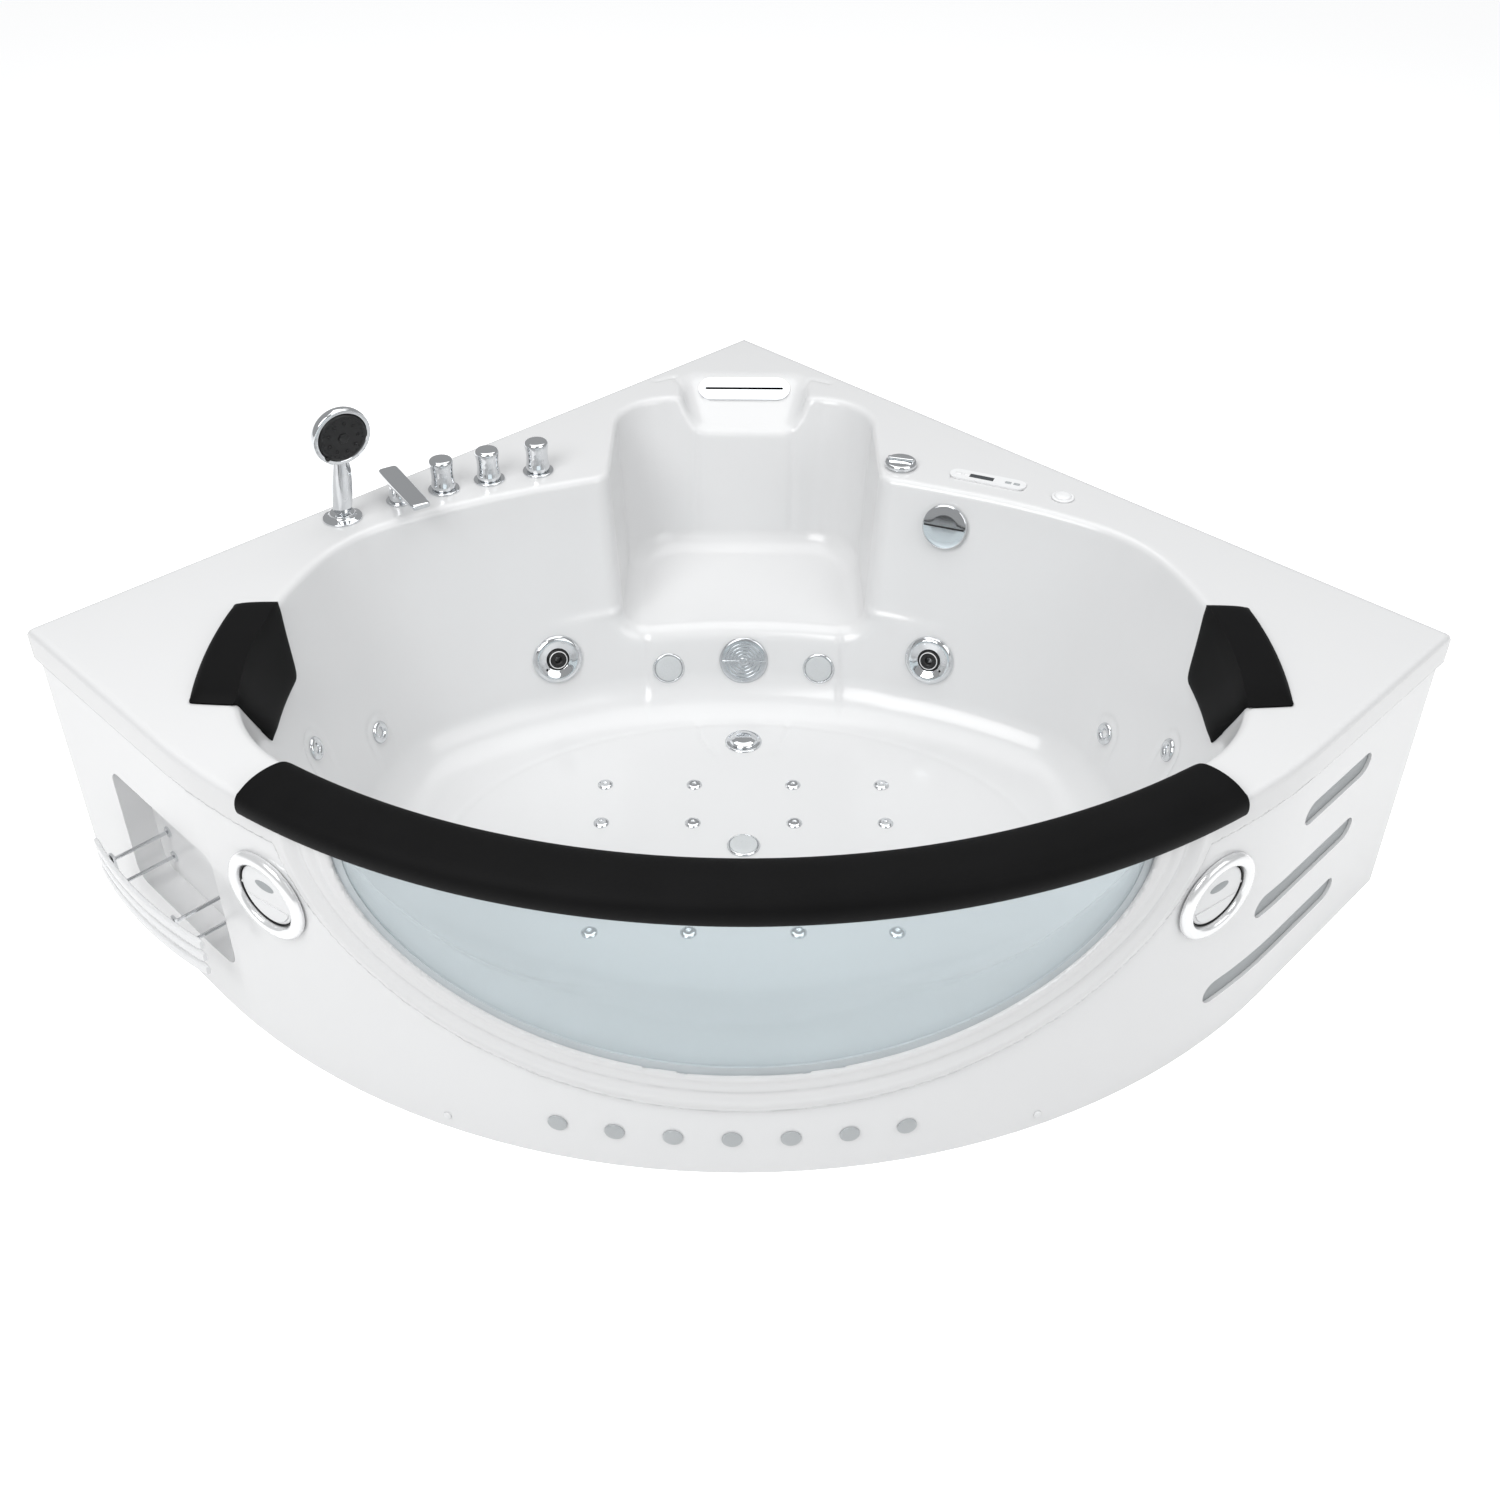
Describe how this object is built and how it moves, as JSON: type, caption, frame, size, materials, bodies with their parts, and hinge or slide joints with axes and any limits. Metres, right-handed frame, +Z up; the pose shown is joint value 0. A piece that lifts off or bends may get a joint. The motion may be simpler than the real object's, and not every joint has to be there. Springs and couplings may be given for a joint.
{
  "type": "jetted bathtub",
  "caption": "Jetted corner bath with a moulded seat, curved glass front, hand shower, jets, padded rim and headrests, on a welded frame behind a skirt.",
  "frame": {"origin": "floor level under the middle of the bowl, at the centre of the middle levelling foot; the corner of the walls is 1060.7 mm behind it", "axes": "+Z up, the rounded glass front towards -Y, the two wall sides at 45 degrees meeting at +Y, +X to the right seen from the front"},
  "size_m": [2.1214, 1.6633, 0.7175],
  "materials": {
    "acrylic": "gloss",
    "glass": "clear with a pale blue-green tint",
    "seal": "satin",
    "cushion": "matt foam skin",
    "chrome": "mirror",
    "chromed_plastic": "chromed",
    "black_plastic": "matt",
    "white_plastic": "gloss",
    "grey_plastic": "satin",
    "display": "dark",
    "lens": "frosted",
    "steel": "galvanised",
    "brass": "plain",
    "pvc": "plain pipe",
    "rubber": "matt"
  },
  "bodies": {
    "tub": {"air_control_body": "chromed_plastic", "air_pipes": "pvc", "blower": "black_plastic", "control_box": "grey_plastic", "control_panel_body": "white_plastic", "control_panel_display": "display", "drain_flange": "chrome", "floor_air_jets": "chromed_plastic", "frame_weldment": "steel", "front_pad": "cushion", "headrest_left": "cushion", "headrest_right": "cushion", "jet_bodies": "chromed_plastic", "levelling_feet": "rubber", "light_button_housing": "white_plastic", "light_housings": "chromed_plastic", "light_lenses": "lens", "overflow_body": "chromed_plastic", "pressure_pipes": "pvc", "pump": "black_plastic", "rack_bars": "white_plastic", "rack_rods": "chrome", "shower_holder": "chrome", "skirt_panel": "acrylic", "skirt_screw_caps": "white_plastic", "speaker_bezels": "chromed_plastic", "spout": "chrome", "suction_body": "white_plastic", "suction_grille": "chromed_plastic", "suction_pipe": "pvc", "supply_pipes": "brass", "tub_shell": "acrylic", "valve_bodies": "brass", "vent_inserts": "grey_plastic", "waste_trap": "pvc", "waterfall_outlet": "chromed_plastic", "window_pane": "glass", "window_seal": "seal"},
    "hand_shower": {"hand_shower_body": "chromed_plastic"},
    "spray_face": {"hand_shower_face": "black_plastic"},
    "hot_knob": {"knob_hot": "chrome"},
    "diverter_knob": {"knob_diverter": "chrome"},
    "cold_knob": {"knob_cold": "chrome"},
    "air_knob": {"air_control_knob": "chromed_plastic"},
    "key_1": {"panel_key_1": "white_plastic"},
    "key_2": {"panel_key_2": "white_plastic"},
    "key_3": {"panel_key_3": "white_plastic"},
    "key_4": {"panel_key_4": "white_plastic"},
    "light_push": {"light_button": "white_plastic"},
    "overflow_dial": {"overflow_knob": "chrome"},
    "plug": {"drain_plug": "chrome"},
    "nozzle_left": {"jet_nozzle_left": "black_plastic"},
    "nozzle_right": {"jet_nozzle_right": "black_plastic"},
    "disc_left": {"speaker_disc_left": "white_plastic"},
    "disc_right": {"speaker_disc_right": "white_plastic"}
  },
  "joints": [
    {"name": "hand_shower_lift", "type": "slide", "parent": "tub", "child": "hand_shower", "axis": [0.1266, -0.1649, 0.9781], "range_m": [0, 0.15]},
    {"name": "spray_face_turn", "type": "hinge", "parent": "hand_shower", "child": "spray_face", "pos_m": [-0.62885, 0.28753, 0.668], "axis": [0.6068, -0.7908, -0.0802], "range_deg": [-60, 60]},
    {"name": "hot_knob_turn", "type": "hinge", "parent": "tub", "child": "hot_knob", "pos_m": [-0.50938, 0.426, 0.5], "axis": [0, 0, 1], "range_deg": [0, 180]},
    {"name": "diverter_knob_turn", "type": "hinge", "parent": "tub", "child": "diverter_knob", "pos_m": [-0.43715, 0.46104, 0.5], "axis": [0, 0, 1], "range_deg": [-45, 45]},
    {"name": "cold_knob_turn", "type": "hinge", "parent": "tub", "child": "cold_knob", "pos_m": [-0.35682, 0.49265, 0.5], "axis": [0, 0, 1], "range_deg": [0, 180]},
    {"name": "air_knob_turn", "type": "hinge", "parent": "tub", "child": "air_knob", "pos_m": [0.27349, 0.51796, 0.5], "axis": [0, 0, 1], "range_deg": [0, 120]},
    {"name": "key_1_press", "type": "slide", "parent": "tub", "child": "key_1", "axis": [0, 0, -1], "range_m": [0, 0.0009], "stiffness_N_per_m": 300},
    {"name": "key_2_press", "type": "slide", "parent": "tub", "child": "key_2", "axis": [0, 0, -1], "range_m": [0, 0.0009], "stiffness_N_per_m": 300},
    {"name": "key_3_press", "type": "slide", "parent": "tub", "child": "key_3", "axis": [0, 0, -1], "range_m": [0, 0.0009], "stiffness_N_per_m": 300},
    {"name": "key_4_press", "type": "slide", "parent": "tub", "child": "key_4", "axis": [0, 0, -1], "range_m": [0, 0.0009], "stiffness_N_per_m": 300},
    {"name": "light_button_press", "type": "slide", "parent": "tub", "child": "light_push", "axis": [0, 0, -1], "range_m": [0, 0.0028], "stiffness_N_per_m": 500},
    {"name": "overflow_dial_turn", "type": "hinge", "parent": "tub", "child": "overflow_dial", "pos_m": [0.34639, 0.41455, 0.44014], "axis": [-0.3298, -0.9012, 0.2812], "range_deg": [0, 90]},
    {"name": "drain_plug_lift", "type": "slide", "parent": "tub", "child": "plug", "axis": [0, 0, 1], "range_m": [0, 0.01]},
    {"name": "nozzle_left_turn", "type": "hinge", "parent": "tub", "child": "nozzle_left", "pos_m": [-0.32868, 0.34709, 0.2053], "axis": [0.3361, -0.8989, 0.2812], "continuous": true},
    {"name": "disc_left_tilt", "type": "hinge", "parent": "tub", "child": "disc_left", "pos_m": [-0.6397, -0.38644, 0.332], "axis": [0.8221, -0.5693, 0], "range_deg": [-15, 15]},
    {"name": "nozzle_right_turn", "type": "hinge", "parent": "tub", "child": "nozzle_right", "pos_m": [0.32868, 0.34709, 0.2053], "axis": [-0.3361, -0.8989, 0.2812], "continuous": true},
    {"name": "disc_right_tilt", "type": "hinge", "parent": "tub", "child": "disc_right", "pos_m": [0.6397, -0.38644, 0.332], "axis": [0.8221, 0.5693, 0], "range_deg": [-15, 15]}
  ],
  "couplings": [
    {"joint": "drain_plug_lift", "follows": "overflow_dial_turn", "m_per_rad": 0.006366}
  ]
}
